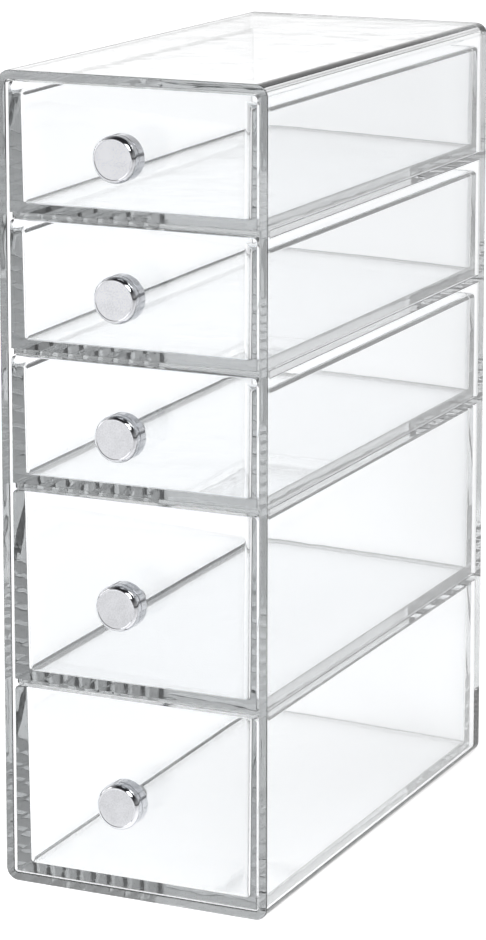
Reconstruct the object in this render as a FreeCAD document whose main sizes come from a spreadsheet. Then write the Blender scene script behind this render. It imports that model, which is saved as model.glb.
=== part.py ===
"""Slim desktop chest of five clear drawers with round knobs.

A clear moulded case, open at the front and closed at the back, carries four bonded
shelves.  Five moulded drawer trays slide between them: three short ones above two tall
ones.  Each tray has a knob on its front, held by a screw from inside the tray.

Frame: millimetres, +X to the right seen from the front, +Y to the back, +Z up.  The
origin is the middle of the face that the case stands on.
"""
import FreeCAD, Part

import os

import Sketcher

Vector = FreeCAD.Vector

# ---------------------------------------------------------------- driving dimensions
SIZES = {
    # case
    "case_width": 89.0,
    "case_depth": 178.0,
    "case_wall": 2.8,
    "case_corner_radius": 4.0,
    "chamber_corner_radius": 1.2,
    "chamber_back_bevel": 0.8,
    "case_back_bevel": 0.8,
    "case_rim_bevel": 0.3,
    # shelves
    "shelf_thickness": 2.0,
    "shelf_edge_bevel": 0.4,
    "shelf_corner_clearance": 0.3,
    "shelf_front_clearance": 0.5,
    # drawer trays
    "short_front_height": 39.9,
    "tall_front_height": 60.0,
    "front_thickness": 3.0,
    "tray_wall": 2.7,
    "tray_floor": 2.5,
    "tray_draft": 0.7,
    "short_side_drop": 4.3,
    "tall_side_drop": 0.6,
    "short_drop_radius": 2.5,
    "tall_drop_radius": 0.5,
    "front_corner_radius": 1.5,
    "tray_corner_radius": 4.0,
    "cavity_corner_radius": 2.0,
    "cavity_floor_bevel": 0.8,
    "tray_edge_bevel": 0.4,
    # running clearances between the trays and the case
    "side_gap": 0.7,
    "back_gap": 0.6,
    "run_gap": 0.25,
    "top_gap": 0.45,
    "mouth_recess": 0.4,
    "front_lap": 0.25,
    # knobs and their screws
    "knob_diameter": 14.4,
    "knob_face_diameter": 12.6,
    "knob_reach": 12.0,
    "knob_cap_thickness": 7.0,
    "knob_edge_bevel": 0.9,
    "knob_neck_diameter": 7.6,
    "knob_bore_depth": 7.0,
    "screw_diameter": 2.9,
    "screw_bore_clearance": 0.05,
    "screw_hole_clearance": 0.3,
    "screw_length": 9.0,
    "screw_head_diameter": 5.6,
    "screw_head_height": 2.0,
    "screw_seat_clearance": 0.6,
    "screw_cross_span": 3.2,
    "screw_cross_width": 0.8,
    "screw_cross_depth": 1.2,
}

# Drawers from the top down.  Each entry names the moulding that the drawer uses.
DRAWERS = ("short", "short", "short", "tall", "tall")

OVERCUT = 1.0  # how far a cutting sketch stands past the material it clears
SLACK = 1e-3  # the difference below which two lengths found on a shape count as the same

# ---------------------------------------------------------------- derived expressions
HALF_WIDTH = "sizes.case_width / 2"
HALF_DEPTH = "sizes.case_depth / 2"
CHAMBER_HALF_WIDTH = f"({HALF_WIDTH} - sizes.case_wall)"
TRAY_HALF_WIDTH = f"({CHAMBER_HALF_WIDTH} - sizes.side_gap)"
TRAY_DEPTH = "(sizes.case_depth - sizes.mouth_recess - sizes.case_wall - sizes.back_gap)"
FRONT_GAP = "(sizes.shelf_thickness + sizes.run_gap - sizes.front_lap)"
SHELF_SETBACK = "(sizes.mouth_recess + sizes.front_thickness + sizes.shelf_front_clearance)"


def front_height(kind):
    """The height of a drawer front of this kind, as an expression."""
    return f"sizes.{kind}_front_height"


def tray_bottom(number):
    """The height of the underside of drawer `number` (1 at the top), as an expression."""
    below = [f"{front_height(kind)} + {FRONT_GAP}" for kind in DRAWERS[number:]]
    return "(" + " + ".join(["sizes.case_wall", "sizes.run_gap"] + below) + ")"


CASE_HEIGHT = f"({tray_bottom(1)} + {front_height(DRAWERS[0])} + sizes.top_gap + sizes.case_wall)"


# ---------------------------------------------------------------- document helpers
doc = FreeCAD.newDocument("drawer_chest")
sheet = doc.addObject("Spreadsheet::Sheet", "sizes")
for row, (alias, size) in enumerate(SIZES.items(), start=1):
    sheet.set(f"A{row}", alias)
    sheet.set(f"B{row}", str(size))
    sheet.setAlias(f"B{row}", alias)
doc.recompute()


def new_body(label, x="0", y="0", z="0"):
    """A PartDesign body with its own label, placed by three expressions."""
    body = doc.addObject("PartDesign::Body", label)
    body.Label = label
    body.setExpression("Placement.Base.x", x)
    body.setExpression("Placement.Base.y", y)
    body.setExpression("Placement.Base.z", z)
    return body


def sketch_on(body, name, role, offset="0"):
    """A sketch on one of the body's own origin planes, moved along its normal."""
    plane = next(item for item in body.Origin.OriginFeatures if item.Role == role)
    sketch = body.newObject("Sketcher::SketchObject", name)
    sketch.AttachmentSupport = [(plane, "")]
    sketch.MapMode = "FlatFace"
    sketch.setExpression(".AttachmentOffset.Base.z", offset)
    return sketch


def bind(sketch, kind, geometry, point, name, expression):
    """Ties one coordinate of a sketch point to an expression."""
    start = sketch.getPoint(geometry, point)
    value = start.x if kind == "DistanceX" else start.y
    index = sketch.addConstraint(Sketcher.Constraint(kind, -1, 1, geometry, point, value))
    sketch.renameConstraint(index, name)
    sketch.setExpression(f"Constraints.{name}", expression)


def evaluate(expression):
    """The present value of an expression, for placing sketch points near their goal."""
    return float(sheet.evalExpression(expression))


def draw_outline(sketch, points, arcs=None):
    """A closed outline through named points given as (name, x, y) expressions.

    `arcs` maps the number of a side to (centre x, centre y, radius) expressions.  Such a
    side is an arc round that centre instead of a straight line.
    """
    arcs = arcs or {}
    spots = [Vector(evaluate(x), evaluate(y), 0) for _, x, y in points]
    for side, start in enumerate(spots):
        end = spots[(side + 1) % len(spots)]
        if side in arcs:
            centre = Vector(evaluate(arcs[side][0]), evaluate(arcs[side][1]), 0)
            middle = centre + ((start + end) / 2 - centre).normalize() * (start - centre).Length
            sketch.addGeometry(Part.Arc(start, middle, end))
        else:
            sketch.addGeometry(Part.LineSegment(start, end))
    ends = [outline_ends(sketch, side, spots) for side in range(len(spots))]
    for side, (_, finish) in enumerate(ends):
        following = (side + 1) % len(spots)
        sketch.addConstraint(
            Sketcher.Constraint("Coincident", side, finish, following, ends[following][0])
        )
    for side, (name, x, y) in enumerate(points):
        bind(sketch, "DistanceX", side, ends[side][0], f"{name}_x", x)
        bind(sketch, "DistanceY", side, ends[side][0], f"{name}_y", y)
    for side, (_, _, radius) in arcs.items():
        index = sketch.addConstraint(Sketcher.Constraint("Radius", side, evaluate(radius)))
        sketch.renameConstraint(index, f"radius_{side}")
        sketch.setExpression(f"Constraints.radius_{side}", radius)


def outline_ends(sketch, side, spots):
    """The sketch point numbers at which one side of an outline starts and finishes."""
    first = sketch.getPoint(side, 1)
    return (1, 2) if first.distanceToPoint(spots[side]) < 1e-6 else (2, 1)


def draw_rectangle(sketch, left, right, bottom, top):
    """A rectangle whose four sides are tied to expressions."""
    draw_outline(
        sketch,
        [
            ("left_bottom", left, bottom),
            ("right_bottom", right, bottom),
            ("right_top", right, top),
            ("left_top", left, top),
        ],
    )


def draw_rounded_rectangle(sketch, left, right, bottom, top, radius):
    """A rectangle with four corner arcs, all tied to expressions."""
    in_left, in_right = f"{left} + {radius}", f"{right} - {radius}"
    in_bottom, in_top = f"{bottom} + {radius}", f"{top} - {radius}"
    draw_outline(
        sketch,
        [
            ("bottom_start", in_left, bottom),
            ("bottom_end", in_right, bottom),
            ("right_start", right, in_bottom),
            ("right_end", right, in_top),
            ("top_start", in_right, top),
            ("top_end", in_left, top),
            ("left_start", left, in_top),
            ("left_end", left, in_bottom),
        ],
        arcs={
            1: (in_right, in_bottom, radius),
            3: (in_right, in_top, radius),
            5: (in_left, in_top, radius),
            7: (in_left, in_bottom, radius),
        },
    )


def draw_circle(sketch, x, y, diameter):
    """A circle tied to expressions."""
    centre = Vector(evaluate(x), evaluate(y), 0)
    radius = evaluate(diameter) / 2
    sketch.addGeometry(Part.Circle(centre, Vector(0, 0, 1), radius))
    bind(sketch, "DistanceX", 0, 3, "centre_x", x)
    bind(sketch, "DistanceY", 0, 3, "centre_y", y)
    index = sketch.addConstraint(Sketcher.Constraint("Diameter", 0, 2 * radius))
    sketch.renameConstraint(index, "diameter")
    sketch.setExpression("Constraints.diameter", diameter)


def pad(body, name, sketch, length):
    """A pad of the sketch along its normal."""
    feature = body.newObject("PartDesign::Pad", name)
    feature.Profile = sketch
    feature.setExpression("Length", length)
    doc.recompute()
    return feature


def pocket(body, name, sketch, length, symmetric=False, reverse=False):
    """A pocket of the sketch against its normal, checked to have cut something."""
    before = body.Shape.Volume
    feature = body.newObject("PartDesign::Pocket", name)
    feature.Profile = sketch
    feature.setExpression("Length", length)
    feature.Reversed = reverse
    if symmetric:
        feature.SideType = "Symmetric"
    doc.recompute()
    if not body.Shape.Volume < before:
        raise RuntimeError(f"{body.Label}: {name} cuts nothing")
    return feature


def revolve(body, name, sketch, axis):
    """A full revolution of the sketch round one of its own axes."""
    feature = body.newObject("PartDesign::Revolution", name)
    feature.Profile = sketch
    feature.ReferenceAxis = (sketch, [axis])
    feature.Angle = 360
    doc.recompute()
    return feature


def dress_edges(body, kind, name, base, size, wanted):
    """Dresses the edges of `base` whose bounding box passes the test `wanted`."""
    picked = [
        f"Edge{number}"
        for number, edge in enumerate(base.Shape.Edges, start=1)
        if wanted(edge.BoundBox)
    ]
    if not picked:
        raise RuntimeError(f"{body.Label}: {name} finds no edges")
    feature = body.newObject(f"PartDesign::{kind}", name)
    feature.Base = (base, picked)
    feature.setExpression("Radius" if kind == "Fillet" else "Size", size)
    doc.recompute()
    return feature


def fillet(body, name, base, radius, wanted):
    """Rounds the wanted edges."""
    return dress_edges(body, "Fillet", name, base, radius, wanted)


def chamfer(body, name, base, size, wanted):
    """Bevels the wanted edges."""
    return dress_edges(body, "Chamfer", name, base, size, wanted)


def draft_walls(body, name, base, angle, is_neutral, wanted):
    """Leans the wanted faces of `base` about its neutral face, narrowing a cavity downwards."""
    faces = list(enumerate(base.Shape.Faces, start=1))
    feature = body.newObject("PartDesign::Draft", name)
    feature.Base = (base, [f"Face{number}" for number, face in faces if wanted(face.BoundBox)])
    neutral = next(f"Face{number}" for number, face in faces if is_neutral(face.BoundBox))
    feature.NeutralPlane = (base, [neutral])
    feature.setExpression("Angle", angle)
    doc.recompute()
    if not feature.Shape.Volume > base.Shape.Volume:
        raise RuntimeError(f"{body.Label}: {name} leans the walls the wrong way")
    return feature


def near(value, goal):
    """Whether two lengths agree."""
    return abs(value - goal) < SLACK


# ---------------------------------------------------------------- case
def make_case():
    """The moulded case: four walls and a back, with a rounded outline."""
    body = new_body("case_shell")
    depth = evaluate(HALF_DEPTH)

    outline = sketch_on(body, "case_outline", "XY_Plane")
    draw_rectangle(outline, f"-{HALF_WIDTH}", HALF_WIDTH, f"-{HALF_DEPTH}", HALF_DEPTH)
    block = pad(body, "case_block", outline, CASE_HEIGHT)
    rounded = fillet(
        body, "long_corners", block, "sizes.case_corner_radius",
        lambda box: box.YLength > depth and near(box.XLength, 0) and near(box.ZLength, 0),
    )
    chamfer(
        body, "back_edges", rounded, "sizes.case_back_bevel",
        lambda box: near(box.YMin, depth) and near(box.YMax, depth),
    )

    mouth = sketch_on(body, "mouth_outline", "XZ_Plane", HALF_DEPTH)
    draw_rounded_rectangle(
        mouth, f"-{CHAMBER_HALF_WIDTH}", CHAMBER_HALF_WIDTH,
        "sizes.case_wall", f"{CASE_HEIGHT} - sizes.case_wall", "sizes.chamber_corner_radius",
    )
    chamber = pocket(body, "chamber", mouth, "sizes.case_depth - sizes.case_wall")
    inner_back = depth - evaluate("sizes.case_wall")
    inside = chamfer(
        body, "chamber_back_edges", chamber, "sizes.chamber_back_bevel",
        lambda box: near(box.YMin, inner_back) and near(box.YMax, inner_back),
    )
    chamfer(
        body, "mouth_rim", inside, "sizes.case_rim_bevel",
        lambda box: near(box.YMin, -depth) and near(box.YMax, -depth),
    )


def make_shelf(number):
    """A clear plate bonded into the case, below drawer `number`."""
    body = new_body(
        f"shelf_{number}",
        y=f"{SHELF_SETBACK} - {HALF_DEPTH}",
        z=f"{tray_bottom(number)} - sizes.run_gap - sizes.shelf_thickness",
    )
    plate_depth = f"(sizes.case_depth - sizes.case_wall - {SHELF_SETBACK})"
    outline = sketch_on(body, f"shelf_outline_{number}", "XY_Plane")
    draw_rectangle(outline, f"-{CHAMBER_HALF_WIDTH}", CHAMBER_HALF_WIDTH, "0", plate_depth)
    plate = pad(body, f"shelf_plate_{number}", outline, "sizes.shelf_thickness")
    back = evaluate(plate_depth)
    corners = fillet(
        body, f"shelf_back_corners_{number}", plate,
        "sizes.chamber_corner_radius + sizes.shelf_corner_clearance",
        lambda box: box.ZLength > SLACK and near(box.YMin, back),
    )
    chamfer(
        body, f"shelf_front_edges_{number}", corners, "sizes.shelf_edge_bevel",
        lambda box: near(box.YMax, 0) and near(box.ZLength, 0),
    )


# ---------------------------------------------------------------- drawers
def make_tray(number, kind):
    """A moulded tray whose sides and back stand lower than its front."""
    body = new_body(
        f"drawer_{number}_tray",
        y=f"sizes.mouth_recess - {HALF_DEPTH}",
        z=tray_bottom(number),
    )
    top = front_height(kind)
    side_top = f"({top} - sizes.{kind}_side_drop)"
    drop_radius = f"sizes.{kind}_drop_radius"
    half, back, height = evaluate(TRAY_HALF_WIDTH), evaluate(TRAY_DEPTH), evaluate(top)
    floor = evaluate("sizes.tray_floor")

    outline = sketch_on(body, f"tray_outline_{number}", "XY_Plane")
    draw_rectangle(outline, f"-{TRAY_HALF_WIDTH}", TRAY_HALF_WIDTH, "0", TRAY_DEPTH)
    block = pad(body, f"tray_block_{number}", outline, top)
    fillet(
        body, f"tray_corners_{number}", block, "sizes.tray_corner_radius",
        lambda box: box.ZLength > SLACK and near(box.YMin, back),
    )

    opening = sketch_on(body, f"cavity_outline_{number}", "XY_Plane", top)
    draw_rectangle(
        opening, f"sizes.tray_wall - {TRAY_HALF_WIDTH}", f"{TRAY_HALF_WIDTH} - sizes.tray_wall",
        "sizes.front_thickness", f"{TRAY_DEPTH} - sizes.tray_wall",
    )
    cavity = pocket(body, f"cavity_{number}", opening, f"{top} - sizes.tray_floor")
    drafted = draft_walls(
        body, f"cavity_draft_{number}", cavity, "sizes.tray_draft",
        lambda box: near(box.ZMin, height) and near(box.ZMax, height),
        lambda box: near(box.ZMin, floor) and box.ZLength > SLACK,
    )
    rounded = fillet(
        body, f"cavity_corners_{number}", drafted, "sizes.cavity_corner_radius",
        lambda box: near(box.ZMin, floor) and near(box.ZMax, height),
    )
    chamfer(
        body, f"cavity_floor_edges_{number}", rounded, "sizes.cavity_floor_bevel",
        lambda box: near(box.ZMin, floor) and near(box.ZMax, floor),
    )

    profile = sketch_on(body, f"side_profile_{number}", "YZ_Plane")
    draw_outline(
        profile,
        [
            ("front_top", "sizes.front_thickness", f"{top} + {OVERCUT}"),
            ("front_foot", "sizes.front_thickness", f"{side_top} + {drop_radius}"),
            ("ramp_end", f"sizes.front_thickness + {drop_radius}", side_top),
            ("back_low", f"{TRAY_DEPTH} + {OVERCUT}", side_top),
            ("back_high", f"{TRAY_DEPTH} + {OVERCUT}", f"{top} + {OVERCUT}"),
        ],
        arcs={
            1: (
                f"sizes.front_thickness + {drop_radius}",
                f"{side_top} + {drop_radius}",
                drop_radius,
            )
        },
    )
    lowered = pocket(
        body, f"side_drop_{number}", profile, "sizes.case_width", symmetric=True
    )
    chamfer(
        body, f"underside_edges_{number}", lowered, "sizes.tray_edge_bevel",
        lambda box: near(box.ZMin, 0) and near(box.ZMax, 0),
    )

    radius = "sizes.front_corner_radius"
    for sign, side in (("", "right"), ("-", "left")):
        corner = sketch_on(body, f"front_corner_outline_{number}_{side}", "XZ_Plane")
        draw_outline(
            corner,
            [
                ("arc_start", f"{sign}({TRAY_HALF_WIDTH} - {radius})", top),
                ("arc_end", f"{sign}{TRAY_HALF_WIDTH}", f"{top} - {radius}"),
                ("low", f"{sign}({TRAY_HALF_WIDTH} + {OVERCUT})", f"{top} - {radius}"),
                ("high", f"{sign}({TRAY_HALF_WIDTH} + {OVERCUT})", f"{top} + {OVERCUT}"),
                ("above", f"{sign}({TRAY_HALF_WIDTH} - {radius})", f"{top} + {OVERCUT}"),
            ],
            arcs={0: (f"{sign}({TRAY_HALF_WIDTH} - {radius})", f"{top} - {radius}", radius)},
        )
        pocket(body, f"front_corner_{number}_{side}", corner, "sizes.front_thickness")

    hole_sketch = sketch_on(body, f"screw_hole_sketch_{number}", "XZ_Plane")
    draw_circle(hole_sketch, "0", f"{top} / 2", "sizes.screw_diameter + sizes.screw_hole_clearance")
    pocket(
        body, f"screw_hole_{number}", hole_sketch, f"sizes.front_thickness + {OVERCUT}"
    )
    seat_sketch = sketch_on(body, f"screw_seat_sketch_{number}", "XZ_Plane", "-sizes.front_thickness")
    draw_circle(
        seat_sketch, "0", f"{top} / 2", "sizes.screw_head_diameter + sizes.screw_seat_clearance"
    )
    pocket(body, f"screw_seat_{number}", seat_sketch, "sizes.screw_head_height")


def make_knob(number, kind):
    """A turned knob with a bevelled face, a neck and a blind bore."""
    body = new_body(
        f"drawer_{number}_knob",
        y=f"sizes.mouth_recess - {HALF_DEPTH}",
        z=f"{tray_bottom(number)} + {front_height(kind)} / 2",
    )
    profile = sketch_on(body, f"knob_profile_{number}", "YZ_Plane")
    bore = "(sizes.screw_diameter / 2 + sizes.screw_bore_clearance)"
    rim = "sizes.knob_diameter / 2"
    neck = "sizes.knob_neck_diameter / 2"
    cap_back = "(sizes.knob_cap_thickness - sizes.knob_reach)"
    draw_outline(
        profile,
        [
            ("bore_mouth", "0", bore),
            ("bore_wall", "-sizes.knob_bore_depth", bore),
            ("bore_end", "-sizes.knob_bore_depth", "0"),
            ("face_middle", "-sizes.knob_reach", "0"),
            ("face_edge", "-sizes.knob_reach", "sizes.knob_face_diameter / 2"),
            ("rim_front", "sizes.knob_edge_bevel - sizes.knob_reach", rim),
            ("cap_back_rim", cap_back, rim),
            ("cap_back_neck", cap_back, neck),
            ("neck_foot", "0", neck),
        ],
    )
    revolve(body, f"knob_turning_{number}", profile, "H_Axis")


def make_screw(number, kind):
    """A screw with a flat head and a cross recess, driven from inside the tray."""
    body = new_body(
        f"drawer_{number}_screw",
        y=f"sizes.mouth_recess - {HALF_DEPTH} + sizes.front_thickness",
        z=f"{tray_bottom(number)} + {front_height(kind)} / 2",
    )
    profile = sketch_on(body, f"screw_profile_{number}", "YZ_Plane")
    shank = "sizes.screw_diameter / 2"
    head = "sizes.screw_head_diameter / 2"
    draw_outline(
        profile,
        [
            ("tip", "-sizes.screw_length", "0"),
            ("top", "sizes.screw_head_height", "0"),
            ("head_top", "sizes.screw_head_height", head),
            ("head_edge", "0", head),
            ("under_head", "0", shank),
            ("tip_edge", "-sizes.screw_length", shank),
        ],
    )
    revolve(body, f"screw_turning_{number}", profile, "H_Axis")
    for turn, (width, height) in enumerate(
        (
            ("sizes.screw_cross_span", "sizes.screw_cross_width"),
            ("sizes.screw_cross_width", "sizes.screw_cross_span"),
        )
    ):
        slot = sketch_on(body, f"slot_{number}_{turn}", "XZ_Plane", "-sizes.screw_head_height")
        draw_rectangle(slot, f"-{width} / 2", f"{width} / 2", f"-{height} / 2", f"{height} / 2")
        pocket(body, f"cross_{number}_{turn}", slot, "sizes.screw_cross_depth", reverse=True)


# ---------------------------------------------------------------- build and export
make_case()
for drawer in range(1, len(DRAWERS)):
    make_shelf(drawer)
for drawer, drawer_kind in enumerate(DRAWERS, start=1):
    make_tray(drawer, drawer_kind)
    make_knob(drawer, drawer_kind)
    make_screw(drawer, drawer_kind)
doc.recompute()

for item in doc.Objects:
    if "Invalid" in item.State or "Error" in item.State:
        raise RuntimeError(f"{item.Label} failed: {item.State}")

bodies = [item for item in doc.Objects if item.TypeId == "PartDesign::Body"]
for item in bodies:
    if item.Shape.isNull() or not item.Shape.isValid() or len(item.Shape.Solids) != 1:
        raise RuntimeError(f"{item.Label} is not one valid solid")

os.makedirs("parts", exist_ok=True)
for item in bodies:
    item.Shape.exportStep(f"parts/{item.Label}.step")
print(f"wrote {len(bodies)} pieces")
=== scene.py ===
"""Dresses the slim drawer chest: clear mouldings, turned chrome knobs and their screws.

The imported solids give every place.  Each class below holds the sizes of one sub-assembly,
builds its meshes in the frame of the solids and gives them their finish.  The sizes of the
pieces are in millimetres, and the meshes, the finishes and the studio are in metres.
"""
import logging
import math
from dataclasses import dataclass
from enum import Enum
from typing import Any, Callable, ClassVar, Iterable, Sequence, Union

import bmesh
import bpy
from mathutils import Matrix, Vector


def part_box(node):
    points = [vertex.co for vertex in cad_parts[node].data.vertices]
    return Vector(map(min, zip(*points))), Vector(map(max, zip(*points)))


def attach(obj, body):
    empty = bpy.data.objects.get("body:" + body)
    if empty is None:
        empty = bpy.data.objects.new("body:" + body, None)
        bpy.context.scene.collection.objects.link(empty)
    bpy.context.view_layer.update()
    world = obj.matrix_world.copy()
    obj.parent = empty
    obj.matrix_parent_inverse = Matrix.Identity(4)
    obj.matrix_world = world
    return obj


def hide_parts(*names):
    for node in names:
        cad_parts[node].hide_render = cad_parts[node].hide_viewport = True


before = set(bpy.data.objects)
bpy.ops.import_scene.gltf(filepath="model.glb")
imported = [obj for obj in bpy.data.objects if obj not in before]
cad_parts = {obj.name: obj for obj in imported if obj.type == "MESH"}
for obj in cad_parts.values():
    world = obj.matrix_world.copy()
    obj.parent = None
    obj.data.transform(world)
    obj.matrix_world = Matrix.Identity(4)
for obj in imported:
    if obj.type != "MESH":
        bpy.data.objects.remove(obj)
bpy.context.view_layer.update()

LOG = logging.getLogger("drawer_chest")
MM = 0.001
CLOSE = 0.01  # millimetres within which two places count as one
FRAME_HEIGHT = 940  # pixels
FULL_TURN = 2 * math.pi
QUARTER_TURN = math.pi / 2

Colour = tuple[float, float, float]
Point = tuple[float, float, float]
Spot = tuple[float, float]

# directions on the table, in X and Y
RIGHTWARD: Spot = (1.0, 0.3)
BACKWARD: Spot = (0.0, 1.0)


class Kind(Enum):
    """The two drawer mouldings that the chest uses."""

    SHORT = "short"
    TALL = "tall"


class Slot(Enum):
    """The material slots of the record, by name; settle is given one for each piece but does not read it.
    """

    CASE = "clear_case"
    TRAY = "clear_tray"
    KNOB = "knob_chrome"
    SCREW = "screw_steel"


@dataclass(frozen=True)
class SideWall:
    """How far a drawer's side walls drop below its front, and the ramp between the two."""

    drop: float
    ramp: float
    ramp_rise: float


SIDE_WALLS = {Kind.SHORT: SideWall(4.3, 2.5, 2.5), Kind.TALL: SideWall(0.6, 1.2, 0.6)}
DRAWERS = (Kind.SHORT, Kind.SHORT, Kind.SHORT, Kind.TALL, Kind.TALL)


# ---------------------------------------------------------------- node trees
class Wire:
    """What one socket gives.  Arithmetic on a number adds the Math nodes that it needs."""

    def __init__(self, graph: "Graph", socket: bpy.types.NodeSocket) -> None:
        """Keeps the graph and the socket that the value comes from."""
        self.graph = graph
        self.socket = socket

    def _math(self, operation: str, *values: "Operand") -> "Wire":
        """The result of one Math node on one or two values."""
        return self.graph.add("Math", {"operation": operation}, dict(enumerate(values)))

    def __add__(self, other: "Operand") -> "Wire":
        """This value plus another."""
        return self._math("ADD", self, other)

    def __radd__(self, other: "Operand") -> "Wire":
        """Another value plus this one."""
        return self._math("ADD", other, self)

    def __sub__(self, other: "Operand") -> "Wire":
        """This value less another."""
        return self._math("SUBTRACT", self, other)

    def __rsub__(self, other: "Operand") -> "Wire":
        """Another value less this one."""
        return self._math("SUBTRACT", other, self)

    def __mul__(self, other: "Operand") -> "Wire":
        """This value times another."""
        return self._math("MULTIPLY", self, other)

    def __rmul__(self, other: "Operand") -> "Wire":
        """Another value times this one."""
        return self._math("MULTIPLY", other, self)

    def __truediv__(self, other: "Operand") -> "Wire":
        """This value divided by another."""
        return self._math("DIVIDE", self, other)

    def __rtruediv__(self, other: "Operand") -> "Wire":
        """Another value divided by this one."""
        return self._math("DIVIDE", other, self)

    def __gt__(self, other: "Operand") -> "Wire":
        """One where this value is the greater."""
        return self._math("GREATER_THAN", self, other)

    def __lt__(self, other: "Operand") -> "Wire":
        """One where the other value is the greater."""
        return self._math("LESS_THAN", self, other)

    def at_least(self, floor: float) -> "Wire":
        """This value, or the floor where the floor is the greater."""
        return self._math("MAXIMUM", self, floor)

    def through(self, operation: str) -> "Wire":
        """This value through a Math operation that takes one value."""
        return self._math(operation, self)


Operand = Union[Wire, float, int]


class Graph:
    """Adds nodes to one node tree, for a material, the world or a modifier."""

    SHARED = ("Math", "VectorMath", "CombineXYZ", "SeparateXYZ")

    def __init__(self, tree: bpy.types.NodeTree, family: str = "ShaderNode") -> None:
        """Empties the tree.

        Args:
            tree: The node tree to fill.
            family: The prefix of the node types that belong to this kind of tree.
        """
        self.tree = tree
        self.family = family
        tree.nodes.clear()

    def add(
        self,
        kind: str,
        settings: dict[str, Any] | None = None,
        inputs: dict[Any, Any] | None = None,
        output: Any = 0,
    ) -> Wire:
        """Adds one node.

        Args:
            kind: The node's type without the family's prefix.
            settings: The node's own properties, set first; "stops" fills a colour ramp.
            inputs: A value or a wire for each named or numbered input socket.
            output: The output socket that the returned wire reads.

        Returns:
            The wire of the chosen output.
        """
        if not kind.startswith("NodeGroup"):
            kind = ("ShaderNode" if kind in self.SHARED else self.family) + kind
        node = self.tree.nodes.new(kind)
        for key, value in (settings or {}).items():
            if key == "stops":
                self._stops(node.color_ramp, value)
            else:
                setattr(node, key, value)
        for key, value in (inputs or {}).items():
            self._feed(node.inputs[key], value)
        if not node.outputs:
            return Wire(self, node.inputs[0])
        return Wire(self, node.outputs[output])

    def noise(self, place: Wire, scale: float, detail: float) -> Wire:
        """A noise pattern, from 0 to 1, over a place."""
        return self.add("TexNoise", inputs={"Vector": place, "Scale": scale, "Detail": detail})

    def two_tone(self, colour: Colour, share: float, places: Spot, pattern: Wire) -> Wire:
        """Adds a colour that a pattern dulls in places.

        Args:
            colour: The full colour.
            share: The share of it that is left where it is dullest.
            places: The pattern's values at which the colour is dullest and full.
            pattern: The pattern.

        Returns:
            The colour.
        """
        dull = tuple(share * part for part in colour)
        return self.add("ValToRGB", {"stops": zip(places, (dull, colour))}, {"Fac": pattern})

    def bump(self, height: Wire, depth: float) -> Wire:
        """The normals of a surface that a pattern raises by up to a depth in metres."""
        return self.add("Bump", inputs={"Height": height, "Strength": 1.0, "Distance": depth})

    def smooth_step(self, value: Wire, start: float, end: float, first: float, last: float) -> Wire:
        """Adds a number that follows a value smoothly.

        Args:
            value: The value.
            start: Where on the value the change starts.
            end: Where on the value the change ends.
            first: The number up to the start.
            last: The number from the end on.

        Returns:
            The number.
        """
        return self.add(
            "MapRange",
            {"interpolation_type": "SMOOTHSTEP"},
            {
                "Value": value, "From Min": start, "From Max": end,
                "To Min": first, "To Max": last,
            },
        )

    def parts(self, vector: Wire) -> tuple[Wire, Wire, Wire]:
        """The X, Y and Z of a vector as three values."""
        split = self.add("SeparateXYZ", inputs={"Vector": vector}).socket.node
        return tuple(Wire(self, socket) for socket in split.outputs)

    def _feed(self, socket: bpy.types.NodeSocket, value: Any) -> None:
        """Links a wire, or each of several wires, to a socket, or sets a plain value.

        Args:
            socket: The input socket.
            value: The wire, the wires or the value.
        """
        if isinstance(value, (list, tuple)) and value and isinstance(value[0], Wire):
            for wire in value:
                self.tree.links.new(wire.socket, socket)
        elif isinstance(value, Wire):
            self.tree.links.new(value.socket, socket)
        else:
            socket.default_value = value

    @staticmethod
    def _stops(ramp: bpy.types.ColorRamp, stops: Iterable[tuple[float, Colour]]) -> None:
        """Fills a colour ramp.

        Args:
            ramp: The ramp.
            stops: The place and the colour of each stop, in order.
        """
        while len(ramp.elements) > 1:
            ramp.elements.remove(ramp.elements[-1])
        for number, (place, colour) in enumerate(stops):
            element = ramp.elements[0] if number == 0 else ramp.elements.new(place)
            element.position = place
            element.color = (*colour, 1.0)


# ---------------------------------------------------------------- finishes
@dataclass(frozen=True)
class Finish:
    """A node material, whose patterns follow the place on the object."""

    name: str

    def nodes(self, graph: Graph, place: Wire) -> dict[str, Wire]:
        """Adds the nodes of one kind of finish and gives what the material's output takes."""
        raise NotImplementedError

    def material(self) -> bpy.types.Material:
        """Builds the node material.

        Returns:
            The finished material.
        """
        material = bpy.data.materials.new(self.name)
        material.use_nodes = True
        graph = Graph(material.node_tree)
        place = graph.add("TexCoord", output="Object")
        graph.add("OutputMaterial", inputs=self.nodes(graph, place))
        return material


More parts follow.
